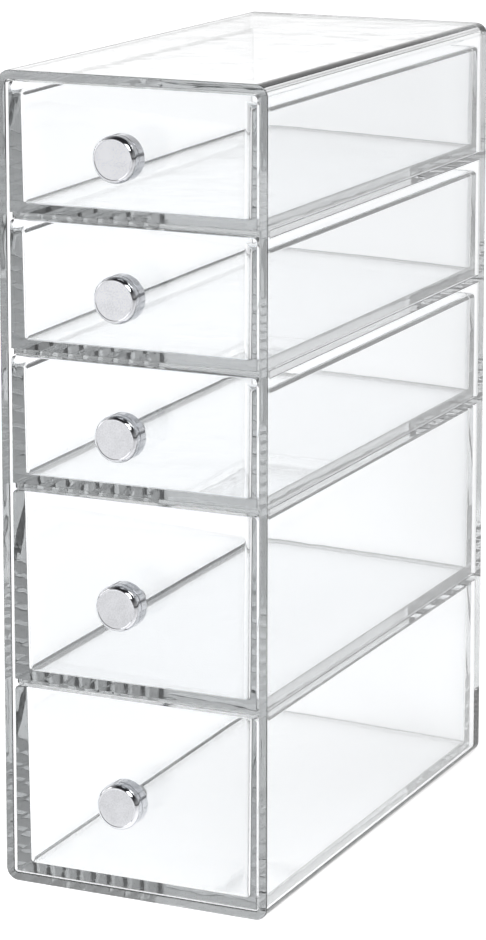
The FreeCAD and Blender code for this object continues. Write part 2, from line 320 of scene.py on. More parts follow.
@dataclass(frozen=True)
class ClearPlastic(Finish):
    """Water-clear moulded plastic, faintly tinted where light runs along inside it."""

    tint: Colour = (0.991, 0.9955, 1.0)
    depth_tint: Colour = (0.30, 0.325, 0.335)
    depth_density: float = 6.5
    refraction: float = 1.53
    haze: float = 0.25
    haze_start: float = 0.62
    haze_scale: float = 90.0
    haze_detail: float = 4.0
    ripple_scale: float = 80.0
    ripple_detail: float = 1.0
    ripple_depth: float = 0.00002

    def nodes(self, graph: Graph, place: Wire) -> dict[str, Wire]:
        """Adds the clear surface, its haze and ripples, and the tint inside.

        Args:
            graph: The material's graph.
            place: The place on the object.

        Returns:
            The surface and the volume.
        """
        haze = graph.noise(place, self.haze_scale, self.haze_detail)
        ripple = graph.noise(place, self.ripple_scale, self.ripple_detail)
        plastic = graph.add(
            "BsdfPrincipled",
            inputs={
                "Base Color": (*self.tint, 1.0),
                "Roughness": self.haze * (haze - self.haze_start).at_least(0.0),
                "IOR": self.refraction,
                "Transmission Weight": 1.0,
                "Normal": graph.bump(ripple, self.ripple_depth),
            },
        )
        inside = graph.add(
            "VolumeAbsorption",
            inputs={"Color": (*self.depth_tint, 1.0), "Density": self.depth_density},
        )
        return {"Surface": plastic, "Volume": inside}


@dataclass(frozen=True)
class PolishedMetal(Finish):
    """Plated or drawn metal with fine marks that catch the light."""

    colour: Colour
    roughness: float
    smudge: float
    smudge_scale: float = 260.0
    smudge_detail: float = 5.0
    speckle_scale: float = 1900.0
    speckle_detail: float = 1.0
    speckle_share: float = 0.5
    grain_scale: float = 5200.0
    grain_detail: float = 2.0
    grain_depth: float = 0.000004
    dull_share: float = 0.86
    tone_places: Spot = (0.36, 0.6)

    def nodes(self, graph: Graph, place: Wire) -> dict[str, Wire]:
        """Adds the metal with its smudges, speckles and grain.

        Args:
            graph: The material's graph.
            place: The place on the object.

        Returns:
            The surface.
        """
        smudge = graph.noise(place, self.smudge_scale, self.smudge_detail)
        speckle = graph.noise(place, self.speckle_scale, self.speckle_detail)
        grain = graph.noise(place, self.grain_scale, self.grain_detail)
        marks = (1.0 - self.speckle_share) * smudge + self.speckle_share * speckle
        metal = graph.add(
            "BsdfPrincipled",
            inputs={
                "Base Color": graph.two_tone(self.colour, self.dull_share, self.tone_places, marks),
                "Metallic": 1.0,
                "Roughness": self.roughness + self.smudge * smudge,
                "Normal": graph.bump(grain, self.grain_depth),
            },
        )
        return {"Surface": metal}


@dataclass(frozen=True)
class PaintedGlowFade:
    """A painted change in the table's glow, from all of it to a share of it between two places, standing
    in for shade and the fall-off of light.

    The places are measured along a direction on the table, given by its X and Y.
    """

    direction: Spot
    start: float
    end: float
    share: float

    def value(self, graph: Graph, side: Wire, depth: Wire) -> Wire:
        """Adds the change to a graph.

        Args:
            graph: The graph to add to.
            side: The place across the table.
            depth: The place from the table's front to its back.

        Returns:
            The factor that the glow is multiplied by.
        """
        place = self.direction[0] * side + self.direction[1] * depth
        return graph.smooth_step(place, self.start, self.end, 1.0, self.share)


@dataclass(frozen=True)
class StudioFloor(Finish):
    """A pale table top with a painted glow, which lights the clear walls and the knobs from below."""

    name: str = "pale_table"
    colour: Colour = (0.86, 0.86, 0.86)
    roughness: float = 0.7
    mottle_scale: float = 35.0
    mottle_detail: float = 3.0
    dull_share: float = 0.985
    tone_places: Spot = (0.35, 0.65)
    glow: float = 1.0
    painted_light_fades: tuple[PaintedGlowFade, ...] = (
        # painted fall-off of light: dimmer from the middle of the chest to its right, in two steps
        PaintedGlowFade(RIGHTWARD, -0.03, 0.11, 0.62),
        PaintedGlowFade(RIGHTWARD, 0.12, 0.25, 0.75),
        # painted shadow of the chest just before it, and the painted glow part of the way back up nearer
        # the camera
        PaintedGlowFade(BACKWARD, -0.1, -0.2, 0.42),
        PaintedGlowFade(BACKWARD, -0.2, -1.5, 1.75),
        # painted fall-off of light far behind it
        PaintedGlowFade(BACKWARD, 3.1, 4.2, 0.25),
    )

    def nodes(self, graph: Graph, place: Wire) -> dict[str, Wire]:
        """Adds the faintly mottled table and its painted glow, with its painted shade and fall-off.

        Args:
            graph: The material's graph.
            place: The place on the table.

        Returns:
            The surface.
        """
        mottle = graph.noise(place, self.mottle_scale, self.mottle_detail)
        side, depth, _ = graph.parts(place)
        first, *others = (fade.value(graph, side, depth) for fade in self.painted_light_fades)
        # painted light: the table's glow, dimmed by the painted shadow and fall-off of the fades
        painted_light_pool = math.prod(others, start=first)
        table = graph.add(
            "BsdfPrincipled",
            inputs={
                "Base Color": graph.two_tone(self.colour, self.dull_share, self.tone_places, mottle),
                "Roughness": self.roughness,
                "Specular IOR Level": 0.0,
                "Emission Color": painted_light_pool,
                "Emission Strength": self.glow,
            },
        )
        return {"Surface": table}


# ---------------------------------------------------------------- mesh building
class Cage:
    """A closed mesh built face by face from points that weld where they coincide."""

    WELD_DIGITS = 7
    SHARP_ANGLE = 40.0
    CRISP_ANGLE = 15.0

    def __init__(self, origin: Point = (0.0, 0.0, 0.0)) -> None:
        """Starts an empty cage.

        Args:
            origin: The place that its points are measured from.  Both are in millimetres.
        """
        self.mesh = bmesh.new()
        self.origin = origin
        self.known: dict[Point, bmesh.types.BMVert] = {}

    def vertex(self, point: Point) -> bmesh.types.BMVert:
        """Gives the vertex at a point, and makes it where there is none yet.

        Args:
            point: The point, in millimetres from the cage's origin.

        Returns:
            The vertex.
        """
        place = tuple(
            round((start + part) * MM, self.WELD_DIGITS) for start, part in zip(self.origin, point)
        )
        if place not in self.known:
            self.known[place] = self.mesh.verts.new(place)
        return self.known[place]

    def _within(self, vertex: bmesh.types.BMVert, low: Point, high: Point) -> bool:
        """Whether a vertex lies in a box given in millimetres from the cage's origin."""
        place = [part / MM - start for part, start in zip(vertex.co, self.origin)]
        return all(least - CLOSE <= part <= most + CLOSE for least, part, most in zip(low, place, high))

    def _middle(self, edge: bmesh.types.BMEdge) -> Point:
        """The middle of an edge, in millimetres from the cage's origin."""
        ends = (vertex.co for vertex in edge.verts)
        return tuple((a + b) / 2 / MM - start for a, b, start in zip(*ends, self.origin))

    def face(self, points: Iterable[Point]) -> bmesh.types.BMFace:
        """Makes one face.

        Args:
            points: Its corners in order.  Those that weld count once.

        Returns:
            The face.
        """
        corners: list[bmesh.types.BMVert] = []
        for corner in map(self.vertex, points):
            if corner not in corners:
                corners.append(corner)
        return self.mesh.faces.new(corners)

    def strip(self, first: Sequence[Point], second: Sequence[Point], closed: bool = False) -> None:
        """Quads between two rows of as many points.

        Args:
            first: The points of one row.
            second: The points of the other row.
            closed: Whether the rows join up end to end.
        """
        count = len(first) if closed else len(first) - 1
        for here in range(count):
            there = (here + 1) % len(first)
            self.face([first[here], first[there], second[there], second[here]])

    def finish(
        self,
        name: str,
        radius: float,
        segments: int,
        share: Callable[[Point], float],
        crisp: Sequence[tuple[Point, Point]] = (),
    ) -> bpy.types.Object:
        """Turns the faces outwards, makes the object and rounds its edges.

        Args:
            name: The object's name.
            radius: The width of the edge rounding, in millimetres.
            segments: The number of faces across a rounded edge.
            share: Gives the share of the radius that an edge gets, from the middle of the edge.
            crisp: The low and high corners of boxes whose edges stay unrounded.

        Returns:
            The object, linked to the scene.
        """
        bmesh.ops.recalc_face_normals(self.mesh, faces=self.mesh.faces)
        weights = self.mesh.edges.layers.float.new("bevel_weight_edge")
        for edge in self.mesh.edges:
            angle = math.degrees(edge.calc_face_angle(0.0))
            kept = any(all(self._within(vertex, *zone) for vertex in edge.verts) for zone in crisp)
            rounded = angle > self.SHARP_ANGLE and not kept
            edge[weights] = share(self._middle(edge)) if rounded else 0.0
            edge.smooth = not (kept and angle > self.CRISP_ANGLE)
        mesh = bpy.data.meshes.new(name)
        self.mesh.to_mesh(mesh)
        open_edges = sum(1 for edge in self.mesh.edges if len(edge.link_faces) != 2)
        if open_edges:
            raise RuntimeError(f"{name} has {open_edges} open edges")
        self.mesh.free()
        for polygon in mesh.polygons:
            polygon.use_smooth = True
        piece = bpy.data.objects.new(name, mesh)
        bpy.context.scene.collection.objects.link(piece)
        rounding = piece.modifiers.new("rounded_edges", "BEVEL")
        rounding.limit_method = "WEIGHT"
        rounding.width = radius * MM
        rounding.segments = segments
        rounding.use_clamp_overlap = False
        evening = piece.modifiers.new("even_normals", "WEIGHTED_NORMAL")
        evening.keep_sharp = True
        return piece


def arc(centre: Spot, radius: float, start: float, turn: float, steps: int) -> list[Spot]:
    """Points along an arc, both ends included.

    Args:
        centre: The middle of the arc.
        radius: Its radius.
        start: The angle of its first point, in radians.
        turn: The angle that it turns through.
        steps: The number of straight runs that stand for it.

    Returns:
        The points in order.
    """
    return [
        (
            centre[0] + radius * math.cos(start + turn * step / steps),
            centre[1] + radius * math.sin(start + turn * step / steps),
        )
        for step in range(steps + 1)
    ]


def at_depth(outline: Iterable[Spot], y: float) -> list[Point]:
    """The points of an outline in X and Z, all at one place along Y."""
    return [(x, y, z) for x, z in outline]


def on_side(side: int, points: Iterable[Point]) -> list[Point]:
    """Points of the right half as they are, or mirrored where the side is -1."""
    return [(side * x, y, z) for x, y, z in points]


def box_in_mm(node: str) -> tuple[Vector, Vector]:
    """The lowest and highest corner of a solid, in millimetres."""
    low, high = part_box(node)
    return Vector(low) / MM, Vector(high) / MM


def settle(piece: bpy.types.Object, body: str, slot: Slot, nodes: Sequence[str]) -> None:
    """Says what a piece belongs to.

    Args:
        piece: The piece.
        body: The body that it rides on.
        slot: The slot that it would take its finish from; not used.
        nodes: The solids that it stands for.
    """
    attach(piece, body)
    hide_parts(*nodes)


# ---------------------------------------------------------------- case
@dataclass
class CaseMoulding:
    """The clear case with its four bonded shelves, as one continuous piece."""

    finish: ClearPlastic
    wall: float = 2.8
    corner_radius: float = 4.0
    chamber_radius: float = 1.2
    corner_steps: int = 12
    edge_radius: float = 0.35
    back_radius: float = 0.8
    edge_segments: int = 3
    shelves: Sequence[str] = ("shelf_1", "shelf_2", "shelf_3", "shelf_4")

    def __post_init__(self) -> None:
        """Takes the outer sizes from the solids."""
        self.low, self.high = box_in_mm("case_shell")
        self.plates = [box_in_mm(shelf) for shelf in self.shelves]
        self.inner_back = self.high.y - self.wall

    def outline(
        self, half: float, low: float, high: float, radius: float, levels: Sequence[float]
    ) -> list[Spot]:
        """A rounded outline in X and Z, from the middle of its lower side round to the right.

        Args:
            half: Half its width.
            low: The height of its lower side.
            high: The height of its upper side.
            radius: The radius of its corners.
            levels: Heights, in rising order, at which both upright sides get a point.

        Returns:
            The points in order, with one in the middle of the lower and the upper side.
        """
        inner = half - radius
        right = arc((inner, low + radius), radius, -QUARTER_TURN, QUARTER_TURN, self.corner_steps)
        right += [(half, level) for level in levels]
        right += arc((inner, high - radius), radius, 0.0, QUARTER_TURN, self.corner_steps)
        left = [(-x, z) for x, z in reversed(right)]
        return [(0.0, low), *right, (0.0, high), *left]

    def share(self, middle: Point) -> float:
        """All of the back's rounding round the chambers' back, and a small share elsewhere."""
        at_back = abs(middle[1] - self.inner_back) < CLOSE
        return 1.0 if at_back else self.edge_radius / self.back_radius

    def build(self) -> bpy.types.Object:
        """Builds the case.

        Returns:
            The case, dressed and settled on its body.
        """
        front, back, height = self.low.y, self.high.y, self.high.z
        half = (self.high.x - self.low.x) / 2
        inner_half, inner_top = half - self.wall, height - self.wall
        levels = sorted(level for plate in self.plates for level in (plate[0].z, plate[1].z))
        ledge = min(plate[0].y for plate in self.plates)
        outer = self.outline(half, 0.0, height, self.corner_radius, ())
        mouth = self.outline(inner_half, self.wall, inner_top, self.chamber_radius, levels)

        # outside and back
        cage = Cage()
        cage.strip(at_depth(outer, front), at_depth(outer, back), closed=True)
        cage.face(at_depth(outer, back))
        # front rim, as a right and a left half
        for side in (1, -1):
            outer_half = [spot for spot in outer if spot[0] * side >= 0]
            mouth_half = [spot for spot in mouth if spot[0] * side >= 0]
            if side < 0:
                outer_half = outer_half[1:] + outer_half[:1]
                mouth_half = mouth_half[1:] + mouth_half[:1]
            cage.face(at_depth(outer_half + mouth_half[::-1], front))
        # mouth, from the rim to the front edges of the shelves
        cage.strip(at_depth(mouth, front), at_depth(mouth, ledge), closed=True)
        for under, over in self.plates:
            corners = ((-1, under.z), (1, under.z), (1, over.z), (-1, over.z))
            cage.face([(side * inner_half, ledge, z) for side, z in corners])
        # a chamber under each shelf and one over the last
        bounds = [self.wall, *levels, inner_top]
        for bottom, top in zip(bounds[0::2], bounds[1::2]):
            room = [spot for spot in mouth if bottom - CLOSE <= spot[1] <= top + CLOSE]
            cage.strip(at_depth(room, ledge), at_depth(room, self.inner_back), closed=True)
            cage.face(at_depth(room, self.inner_back))

        piece = cage.finish("case_moulding", self.back_radius, self.edge_segments, self.share)
        piece.data.materials.append(self.finish.material())
        settle(piece, "case", Slot.CASE, ["case_shell", *self.shelves])
        return piece


# ---------------------------------------------------------------- drawers
@dataclass
class TrayMoulding:
    """One clear drawer tray whose sides and back stand lower than its front."""

    number: int
    kind: Kind
    material: bpy.types.Material
    front: float = 3.0
    wall: float = 2.7
    floor: float = 2.5
    draft: float = math.radians(0.7)
    front_radius: float = 1.5
    rear_radius: float = 2.2
    cavity_radius: float = 2.0
    hole_radius: float = 1.6
    seat_radius: float = 3.1
    corner_steps: int = 12
    hole_steps: int = 24
    edge_radius: float = 0.25
    floor_radius: float = 0.8
    edge_segments: int = 3
    rim_radius: float = 1.25
    rim_steps: int = 6
    rim_margin: float = 0.1
    seat_zone: float = 1.0

    def __post_init__(self) -> None:
        """Takes the outer sizes from the solid and the form of the side walls from the kind."""
        low, high = box_in_mm(f"drawer_{self.number}_tray")
        self.origin = (0.0, low.y, low.z)
        self.half = (high.x - low.x) / 2
        self.depth = high.y - low.y
        self.top = high.z - low.z
        wall = SIDE_WALLS[self.kind]
        self.ramp, self.ramp_rise = wall.ramp, wall.ramp_rise
        self.side = self.top - wall.drop
        self.foot = self.side + self.ramp_rise

    def rim_height(self, y: float) -> float:
        """Follows the top edge of the side wall and its ramp.

        Args:
            y: The place along the tray.

        Returns:
            The height of the edge there.
        """
        run = (self.front + self.ramp - y) / self.ramp
        if run <= 0:
            return self.side
        hollow = run if self.kind is Kind.TALL else 1.0 - math.sqrt(1.0 - run ** 2)
        return self.side + self.ramp_rise * hollow

    def inset(self, z: float) -> float:
        """How far the drafted cavity has closed in at a height."""
        return max(self.foot - z, 0.0) * math.tan(self.draft)

    def lean(self, z: float) -> float:
        """How far back the front's drafted rear face stands at a height."""
        return self.front + self.inset(z)

    def half_ring(self, inset: float) -> list[Spot]:
        """Draws the right half of the cavity's outline.

        Args:
            inset: How far the cavity has closed in at the height of the outline.

        Returns:
            The points in X and Y, from the front corner to the middle of the back.
        """
        x, radius = self.half - self.wall - inset, self.cavity_radius
        front, back = self.front + inset, self.depth - self.wall - inset
        steps = self.corner_steps
        ring = arc((x - radius, front + radius), radius, -QUARTER_TURN, QUARTER_TURN, steps)
        span = self.ramp - radius
        if span > 0:
            ring.append((x, front + radius + span))
        ring += arc((x - radius, back - radius), radius, 0.0, QUARTER_TURN, steps)
        return [*ring, (0.0, back)]

    def outer_ring(self) -> list[Spot]:
        """Draws the right half of the outer outline.

        Returns:
            The points in X and Y, each beside one point of the cavity's outline.
        """
        inner = self.half_ring(0.0)
        centre = (self.half - self.rear_radius, self.depth - self.rear_radius)
        corner = arc(centre, self.rear_radius, 0.0, QUARTER_TURN, self.corner_steps)
        straight = [(self.half, y) for _, y in inner[: -len(corner) - 1]]
        if self.kind is Kind.TALL:
            step = self.cavity_radius / self.corner_steps
            straight = [(self.half, self.front + step * here) for here in range(len(straight))]
        return [*straight, *corner, (0.0, self.depth)]

    def rim_rows(self) -> list[list[Point]]:
        """The right half of the rounded rim.

        Returns:
            Rows of points, from the cavity's wall over the top to the outer side.
        """
        steps = self.rim_steps
        section = [(0, step) for step in range(steps + 1)] + [(1, step) for step in range(steps, -1, -1)]
        rows: list[list[Point]] = []
        for far, step in section:
            angle = QUARTER_TURN * step / steps
            row = []
            for inner, outer in zip(self.half_ring(0.0), self.outer_ring()):
                soft = self.rim_radius * min(1.0, (inner[1] - self.front) / self.ramp)
                share = soft * (1 - math.cos(angle)) / math.dist(inner, outer)
                x, y = (a + (b - a) * abs(far - share) for a, b in zip(inner, outer))
                row.append((x, y, self.rim_height(y) - soft * (1 - math.sin(angle))))
            rows.append(row)
        return rows

    def front_arc(self) -> list[Spot]:
        """The rounded upper corner of the front in X and Z."""
        centre = (self.half - self.front_radius, self.top - self.front_radius)
        return arc(centre, self.front_radius, 0.0, QUARTER_TURN, self.corner_steps)

    def circle(self, radius: float) -> list[Spot]:
        """A half circle in X and Z round the screw, from above it over the right to below it."""
        spots = arc((0.0, self.top / 2), radius, QUARTER_TURN, -math.pi, self.hole_steps // 2)
        return [(abs(x), z) for x, z in spots]

    def half_faces(self) -> tuple[list[list[Point]], list[tuple[list[Point], list[Point]]]]:
        """All faces of the right half of the tray.

        Returns:
            The single faces and the pairs of rows that strips of quads join.
        """
        rim = self.rim_rows()
        upper, outer = rim[0], rim[-1]
        crown = rim[self.rim_steps: self.rim_steps + 2]
        lower = [(x, y, self.floor) for x, y in self.half_ring(self.inset(self.floor))]
        base = [(x, y, 0) for x, y, _ in outer[-self.corner_steps - 2:]]
        half, front, top, foot = self.half, self.front, self.top, self.foot
        bend = top - self.front_radius
        face_arc = at_depth(self.front_arc(), 0.0)
        steep = at_depth(self.front_arc(), front)
        hole = at_depth(self.circle(self.hole_radius), 0.0)
        hole_back = at_depth(self.circle(self.hole_radius), front)
        seat = at_depth(self.circle(self.seat_radius), front)
        seat_rim = [(x, self.lean(z), z) for x, z in self.circle(self.seat_radius)]
        level = self.kind is Kind.TALL
        meeting = steep[-1] if level else (half, front, foot)
        front_top = [(0, 0, top), (half - self.front_radius, 0, top), steep[-1], (0, front, top)]
        if level:
            front_top.insert(3, upper[0])

        faces = [
            # front face, round the screw's hole
            [(0, 0, 0), (half, 0, 0), *face_arc, (0, 0, top), *hole],
            # top of the front
            front_top,
            # drafted back of the front, round the screw's seat
            [(0, self.lean(self.floor), self.floor), lower[0], upper[0], (0, front, foot), *seat_rim],
            # underside
            [(0, 0, 0), (half, 0, 0), *base],
            # floor of the cavity
            [(0, self.lean(self.floor), self.floor), *lower],
            # outer side
            [
                (half, 0, 0), base[0], *outer[: -self.corner_steps - 1][::-1],
                (half, front, bend), (half, 0, bend),
            ],
            # start of the rim behind the front
            [upper[0], meeting, outer[0], crown[1][1], crown[0][1]],
        ]
        strips = [
            # rounded upper corner of the front
            (face_arc, steep),
            # wall of the cavity, and the outside round the rear corner
            (upper, lower),
            (base, outer[-len(base):]),
            # screw's hole and its seat
            (hole, hole_back),
            (hole_back, seat),
            (seat, seat_rim),
            # top of the rim, which starts one point further back than its two rounded sides
            (crown[0][1:], crown[1][1:]),
        ]
        strips += [(one, two) for one, two in zip(rim, rim[1:]) if one is not crown[0]]
        # upper part of the front's back, above the side walls
        if level:
            faces.append([*steep, (half, front, foot)])
        else:
            faces.append([(0, front, foot), upper[0], meeting, *steep, (0, front, top)])
        return faces, strips

    def share(self, middle: Point) -> float:
        """Says how much of the floor's rounding an edge gets.

        Args:
            middle: The middle of the edge.

        Returns:
            None of it on the rim, all of it round the cavity's floor, and a small share elsewhere.
        """
        rim_foot = self.side - self.rim_radius - self.rim_margin
        if middle[1] > self.front + CLOSE and middle[2] > rim_foot:
            return 0.0
        at_floor = abs(middle[2] - self.floor) < CLOSE
        return 1.0 if at_floor else self.edge_radius / self.floor_radius

    def build(self) -> bpy.types.Object:
        """Builds the tray.

        Returns:
            The tray, dressed and settled on its body.
        """
        faces, strips = self.half_faces()
        cage = Cage(self.origin)
        for side in (1, -1):
            for points in faces:
                cage.face(on_side(side, points))
            for first, second in strips:
                cage.strip(on_side(side, first), on_side(side, second))
        # edges that stay crisp: those of the screw's seat, and on a tall tray those beside the ramp
        seat, middle, seat_back = self.seat_radius, self.top / 2, self.front + self.seat_zone
        crisp = [((-seat, self.front, middle - seat), (seat, seat_back, middle + seat))]
        if self.kind is Kind.TALL:
            crisp.append((
                (-self.half, self.front, self.top - self.front_radius),
                (self.half, self.front + self.ramp / 2, self.top),
            ))
        name = f"drawer_{self.number}_moulding"
        piece = cage.finish(name, self.floor_radius, self.edge_segments, self.share, crisp)
        piece.data.materials.append(self.material)
        settle(piece, f"drawer_{self.number}", Slot.TRAY, [f"drawer_{self.number}_tray"])
        return piece


# ---------------------------------------------------------------- turned parts
@dataclass
class Outline:
    """The outline of a turned part: corners of (radius, distance forward, rounding)."""

    corners: Sequence[tuple[float, float, float]]
    steps: int = 5
    support: float = 0.05

    def spots(self) -> list[Spot]:
        """Rounds the corners.

        Returns:
            The points of the outline in order, with a point close beside each rounding.
        """
        flat = [Vector(corner[:2]) for corner in self.corners]
        spots = [flat[0]]
        for before, here, after, (_, _, rounding) in zip(flat, flat[1:], flat[2:], self.corners[1:]):
            if rounding <= 0:
                spots.append(here)
                continue
            back, on = (before - here).normalized(), (after - here).normalized()
            half_angle = back.angle(on) / 2
            reach = rounding / math.tan(half_angle)
            centre = here + (back + on).normalized() * (rounding / math.sin(half_angle))
            first, last = here + back * reach - centre, here + on * reach - centre
            spots.append(centre + first + back * self.support)
            first_way, last_way = first.normalized(), last.normalized()
            spots += [
                centre + first_way.slerp(last_way, step / self.steps) * rounding
                for step in range(self.steps + 1)
            ]
            spots.append(centre + last + on * self.support)
        spots.append(flat[-1])
        return [(spot.x, spot.y) for spot in spots]


@dataclass
class CrossRecess:
    """The cross that a driver turns.  Its two slots differ in depth, so no two floors coincide."""

    span: float = 3.2
    width: float = 0.8
    depth: float = 1.2
    second_depth: float = 1.1


class TurningTree:
    """Geometry Nodes that turn an outline round an axis pointing forward, along -Y."""

    WELD_DISTANCE = 0.000001
    CREASE = math.radians(30.0)
    HALF_STEP = 0.5

    def __init__(self, name: str, recess: CrossRecess | None = None) -> None:
        """Builds the tree.

        Args:
            name: The tree's name.
            recess: The cross cut into the rear end, where the part has one.
        """
        self.tree = bpy.data.node_groups.new(name, "GeometryNodeTree")
        face = self.tree.interface
        face.new_socket("Outline", in_out="INPUT", socket_type="NodeSocketGeometry")
        self.inputs = {
            title: face.new_socket(title, in_out="INPUT", socket_type=f"NodeSocket{kind}").identifier
            for title, kind in (
                ("Faces Around", "Int"), ("Place", "Vector"), ("Crease", "Float"), ("Finish", "Material"),
            )
        }
        face.new_socket("Geometry", in_out="OUTPUT", socket_type="NodeSocketGeometry")
        graph = Graph(self.tree, "GeometryNode")
        given = graph.add("NodeGroupInput").socket.node.outputs
        given = {title: Wire(graph, given[title]) for title in ("Outline", *self.inputs)}
        shape = self._turning(graph, given)
        if recess:
            shape = self._cut(graph, shape, recess)
        shape = graph.add("SetPosition", inputs={"Geometry": shape, "Offset": given["Place"]})
        shape = graph.add("SetShadeSmooth", {"domain": "FACE"}, {0: shape, "Shade Smooth": True})
        fold = graph.add("InputMeshEdgeAngle", output="Unsigned Angle")
        shape = graph.add(
            "SetShadeSmooth",
            {"domain": "EDGE"},
            {0: shape, "Selection": fold > given["Crease"], "Shade Smooth": False},
        )
        shape = graph.add("RealizeInstances", inputs={"Geometry": shape})
        shape = graph.add("SetMaterial", inputs={"Geometry": shape, "Material": given["Finish"]})
        graph.add("NodeGroupOutput", inputs={"Geometry": shape})

    def _turning(self, graph: Graph, given: dict[str, Wire]) -> Wire:
        """Bends a grid so that each row is one ring of the turned surface.

        Args:
            graph: The graph to add to.
            given: The tree's inputs by name.

        Returns:
            The closed turned shape.
        """
        rings = graph.add("AttributeDomainSize", {"component": "MESH"}, {0: given["Outline"]})
        around = given["Faces Around"]
        grid = graph.add("MeshGrid", inputs={"Vertices X": rings, "Vertices Y": around + 1})
        index = graph.add("InputIndex")
        # the half step keeps the first point of a ring from falling to the ring before
        ring = ((index + self.HALF_STEP) / (around + 1)).through("FLOOR")
        angle = FULL_TURN * (index - ring * (around + 1)) / around
        spot = graph.add(
            "SampleIndex",
            {"data_type": "FLOAT_VECTOR", "domain": "POINT"},
            {"Geometry": given["Outline"], "Value": graph.add("InputPosition"), "Index": ring},
        )
        radius, forward, _ = graph.parts(spot)
        across = radius * angle.through("SINE")
        upward = radius * angle.through("COSINE")
        place = graph.add("CombineXYZ", inputs={"X": across, "Y": 0.0 - forward, "Z": upward})
        bent = graph.add("SetPosition", inputs={"Geometry": grid, "Position": place})
        closed = graph.add("MergeByDistance", inputs={"Geometry": bent, "Distance": self.WELD_DISTANCE})
        return graph.add("FlipFaces", inputs={"Mesh": closed})

    def _cut(self, graph: Graph, shape: Wire, recess: CrossRecess) -> Wire:
        """Cuts two crossing slots into the rear end.

        Args:
            graph: The graph to add to.
            shape: The turned shape, whose rear end is the furthest along +Y.
            recess: The sizes of the cross.

        Returns:
            The shape with its recess.
        """
        corner = graph.add("BoundBox", inputs={"Geometry": shape}, output="Max")
        _, rear, _ = graph.parts(corner)
        centre = graph.add("CombineXYZ", inputs={"Y": rear})
        slots = []
        for wide, deep, high in (
            (recess.span, recess.depth, recess.width),
            (recess.width, recess.second_depth, recess.span),
        ):
            cube = graph.add("MeshCube", inputs={"Size": (wide * MM, 2 * deep * MM, high * MM)})
            slots.append(graph.add("Transform", inputs={"Geometry": cube, "Translation": centre}))
        return graph.add("MeshBoolean", {"operation": "DIFFERENCE"}, {"Mesh 1": shape, "Mesh 2": slots})

    def turn(
        self, name: str, outline: Outline, place: Vector, material: bpy.types.Material, around: int
    ) -> bpy.types.Object:
        """Turns one part.

        Args:
            name: The part's name.
            outline: Its outline in millimetres.
            place: Where the zero of the outline sits, in millimetres.
            material: Its finish.
            around: The number of faces round it.

        Returns:
            The part as a plain mesh.
        """
        spots = [(radius * MM, along * MM, 0.0) for radius, along in outline.spots()]
        mesh = bpy.data.meshes.new(name)
        mesh.from_pydata(spots, [(here, here + 1) for here in range(len(spots) - 1)], [])
        part = bpy.data.objects.new(name, mesh)
        bpy.context.scene.collection.objects.link(part)
        turning = part.modifiers.new("turning", "NODES")
        turning.node_group = self.tree
        turning[self.inputs["Faces Around"]] = around
        turning[self.inputs["Place"]] = tuple(place * MM)
        turning[self.inputs["Crease"]] = self.CREASE
        turning[self.inputs["Finish"]] = material
        graph = bpy.context.evaluated_depsgraph_get()
        part.data = bpy.data.meshes.new_from_object(part.evaluated_get(graph), depsgraph=graph)
        part.modifiers.clear()
        bpy.data.meshes.remove(mesh)
        # leaves only the slot of the finish that the tree sets
        slots = part.data.materials
        for slot in reversed(range(len(slots))):
            if slots[slot] is None:
                slots.pop(index=slot)
        part.data.name = name
        return part


@dataclass
class TurnedPart:
    """A part of a drawer that is turned from an outline.

    Its reach is how far it stands forward of the zero of the outline.
    """

    number: int
    tree: TurningTree
    material: bpy.types.Material
    reach: float = 0.0
    around: int = 0

    SOLID: ClassVar[str]
    TITLE: ClassVar[str]
    SLOT: ClassVar[Slot]

    def outline(self) -> Outline:
        """The outline, which each kind of part draws."""
        raise NotImplementedError

    def build(self) -> bpy.types.Object:
        """Builds the part.

        Returns:
            The part, settled on its drawer.
        """
        solid = f"drawer_{self.number}_{self.SOLID}"
        low, high = box_in_mm(solid)
        place = Vector(((low.x + high.x) / 2, low.y + self.reach, (low.z + high.z) / 2))
        name = f"drawer_{self.number}_{self.TITLE}"
        part = self.tree.turn(name, self.outline(), place, self.material, self.around)
        settle(part, f"drawer_{self.number}", self.SLOT, [solid])
        return part


@dataclass
class TurnedKnob(TurnedPart):
    """A plated knob: a faintly dished face, a curved rim, a grooved barrel and a neck."""

    SOLID = "knob"
    TITLE = "turned_knob"
    SLOT = Slot.KNOB

    reach: float = 12.0
    face_radius: float = 6.3
    face_dish: float = 0.1
    rim_radius: float = 7.2
    bevel: float = 0.9
    cap: float = 7.0
    groove_place: float = 3.2
    groove_width: float = 0.4
    groove_depth: float = 0.3
    neck_radius: float = 3.8
    bore_radius: float = 1.5
    bore_depth: float = 7.0
    rounding: float = 0.15
    face_rounding: float = 0.3
    rim_rounding: float = 2.3
    around: int = 96

    def outline(self) -> Outline:
        """Draws the knob.

        Returns:
            Its outline, from the middle of its face to the end of its bore.
        """
        front, rim, soft = self.reach, self.rim_radius, self.rounding
        broad, fine, finest = 2 * soft, soft / 2, soft / 3
        back, dish, groove = front - self.cap, front - self.face_dish, rim - self.groove_depth
        first = front - self.groove_place + self.groove_width / 2
        second = first - self.groove_width
        return Outline([
            # face, with its dish
            (0.0, dish, 0.0),
            (self.face_radius - 3 * soft, dish, fine),
            (self.face_radius - broad, front, fine),
            (self.face_radius, front, self.face_rounding),
            # rim, and the barrel with its groove
            (rim, front - self.bevel, self.rim_rounding),
            (rim, first, finest), (groove, first, finest),
            (groove, second, finest), (rim, second, finest),
            (rim, back, broad),
            # neck and bore
            (self.neck_radius, back, broad),
            (self.neck_radius, 0.0, soft),
            (self.bore_radius, 0.0, fine),
            (self.bore_radius, self.bore_depth, 0.0),
            (0.0, self.bore_depth, 0.0),
        ])


